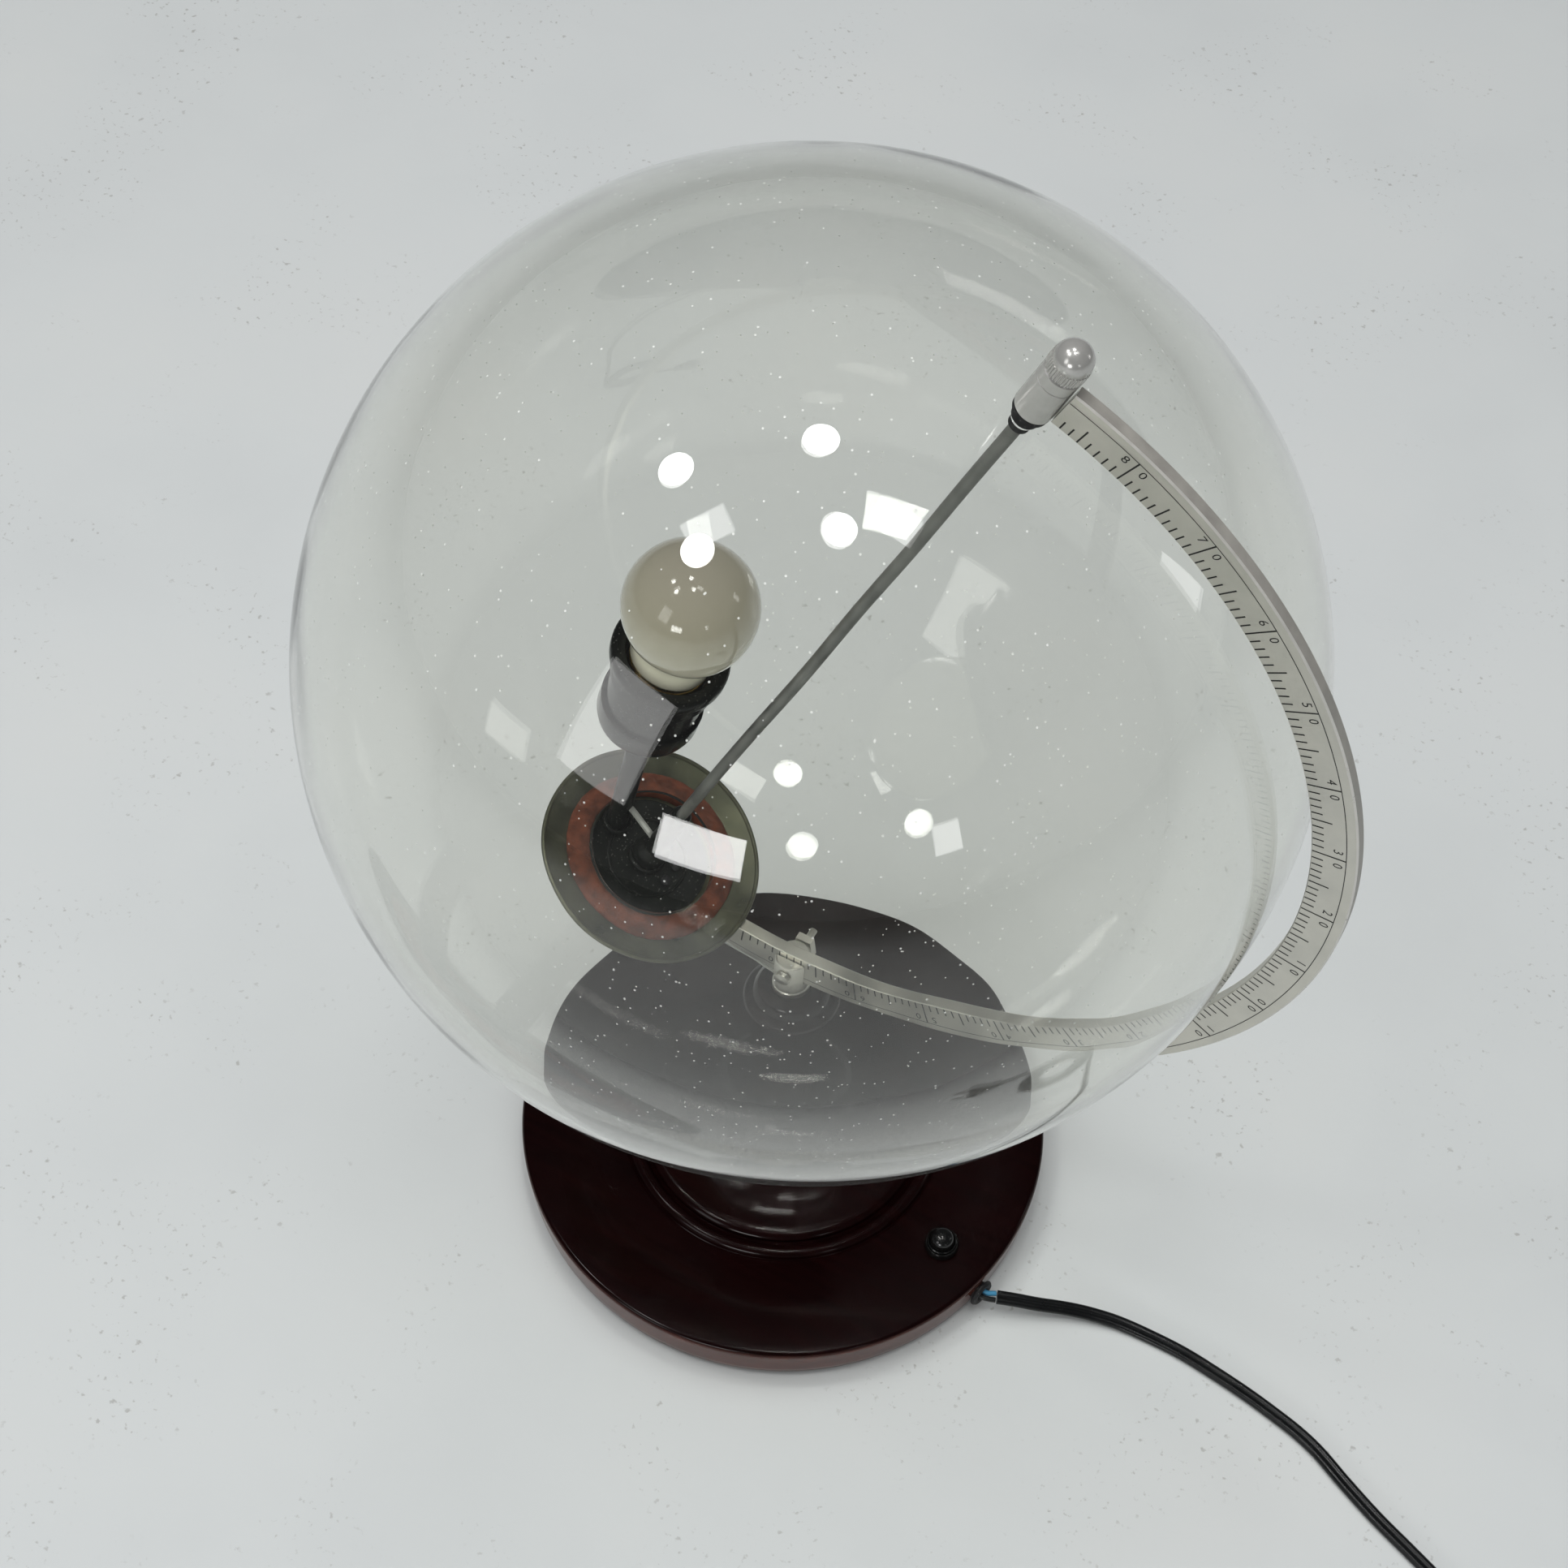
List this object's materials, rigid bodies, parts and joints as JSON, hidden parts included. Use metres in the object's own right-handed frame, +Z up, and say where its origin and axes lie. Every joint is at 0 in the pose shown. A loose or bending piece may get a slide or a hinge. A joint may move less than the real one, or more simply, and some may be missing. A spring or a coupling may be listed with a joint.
{
  "type": "storm glass",
  "caption": "Illuminated globe lamp: clear glass globe on a tilted axis with a graduated meridian arm, bulb holder inside, turned wooden foot, floor cord.",
  "frame": {"origin": "centre of the underside of the felt pad, on the floor", "axes": "+Z up along the column; the meridian arm lies in the XZ plane and the north end of the axis leans towards +X"},
  "size_m": [0.5586, 0.395, 0.52],
  "materials": {
    "felt": "dark green felt",
    "lacquered_wood": "dark red gloss lacquer",
    "iron": "plain",
    "zinc_steel": "zinc plated",
    "switch_plastic": "black",
    "brass": "plain",
    "black_rubber": "matt black",
    "satin_nickel": "satin nickel plate",
    "bright_nickel": "polished nickel plate",
    "dull_steel": "dull",
    "clear_glass": "clear, blown",
    "grey_metal_dish": "olive grey satin",
    "red_rubber": "red-brown sponge rubber",
    "black_metal": "black satin",
    "bakelite": "black bakelite",
    "porcelain": "white",
    "opal_glass": "smoky pearl, opal",
    "bulb_cap_metal": "plain",
    "blue_insulation": "light blue",
    "black_insulation": "black",
    "clear_insulation": "clear grey",
    "black_cord": "black flat sheath",
    "cord_tie": "black",
    "plug_plastic": "black",
    "plug_nickel": "nickel plated brass"
  },
  "bodies": {
    "stand": {"felt_pad": "felt", "base_disc": "lacquered_wood", "column": "lacquered_wood", "ballast_ring": "iron", "plate_screw_1": "iron", "plate_screw_2": "iron", "ballast_screw_1": "zinc_steel", "ballast_screw_2": "zinc_steel", "ballast_screw_3": "zinc_steel", "tie_tube": "zinc_steel", "tie_washer": "zinc_steel", "tie_nut": "zinc_steel", "south_post": "zinc_steel", "south_washer": "zinc_steel", "south_nut": "zinc_steel", "switch_body": "switch_plastic", "switch_ring": "switch_plastic", "switch_terminal_1": "brass", "switch_terminal_2": "brass", "screw_shell": "brass", "centre_contact": "brass", "cord_grommet": "black_rubber", "meridian_arm": "satin_nickel", "arm_clamp": "satin_nickel", "clamp_screw": "satin_nickel", "clamp_nut": "satin_nickel", "north_sleeve": "bright_nickel", "axis_rod": "dull_steel", "inner_plate": "black_metal", "post_ring": "black_metal", "rod_socket": "black_metal", "lamp_stalk": "black_metal", "stalk_foot": "black_metal", "holder_cap": "bakelite", "holder_body": "bakelite", "holder_ring": "bakelite", "holder_insert": "porcelain", "wire_connector": "porcelain", "core_blue": "blue_insulation", "core_black": "black_insulation", "switch_wire": "black_insulation", "lamp_lead": "clear_insulation", "cord_run": "black_cord", "cord_coil": "black_cord", "cord_tail": "black_cord", "cord_tie": "cord_tie", "plug_body": "plug_plastic", "plug_pin_1": "plug_nickel", "plug_pin_2": "plug_nickel"},
    "globe": {"globe_glass": "clear_glass", "north_bush": "black_rubber", "north_washer": "black_rubber", "south_cup": "grey_metal_dish", "south_gasket": "red_rubber"},
    "cap": {"north_cap": "bright_nickel"},
    "bulb": {"bulb_glass": "opal_glass", "bulb_cap": "bulb_cap_metal", "bulb_contact": "bulb_cap_metal"},
    "button": {"switch_button": "switch_plastic"}
  },
  "joints": [
    {"name": "globe_spin", "type": "hinge", "parent": "stand", "child": "globe", "pos_m": [0, 0, 0.326], "axis": [0.3665, 0, 0.9304], "continuous": true},
    {"name": "cap_unscrew", "type": "hinge", "parent": "stand", "child": "cap", "pos_m": [0.0733, 0, 0.51208], "axis": [0.3665, 0, 0.9304], "range_deg": [0, 1440]},
    {"name": "bulb_unscrew", "type": "hinge", "parent": "stand", "child": "bulb", "pos_m": [-0.048, 0.004, 0.3228], "axis": [0.2419, 0, 0.9703], "range_deg": [0, 1080]},
    {"name": "switch_press", "type": "slide", "parent": "stand", "child": "button", "axis": [0, 0, -1], "range_m": [0, 0.003], "stiffness_N_per_m": 300, "springref_m": -0.002}
  ]
}
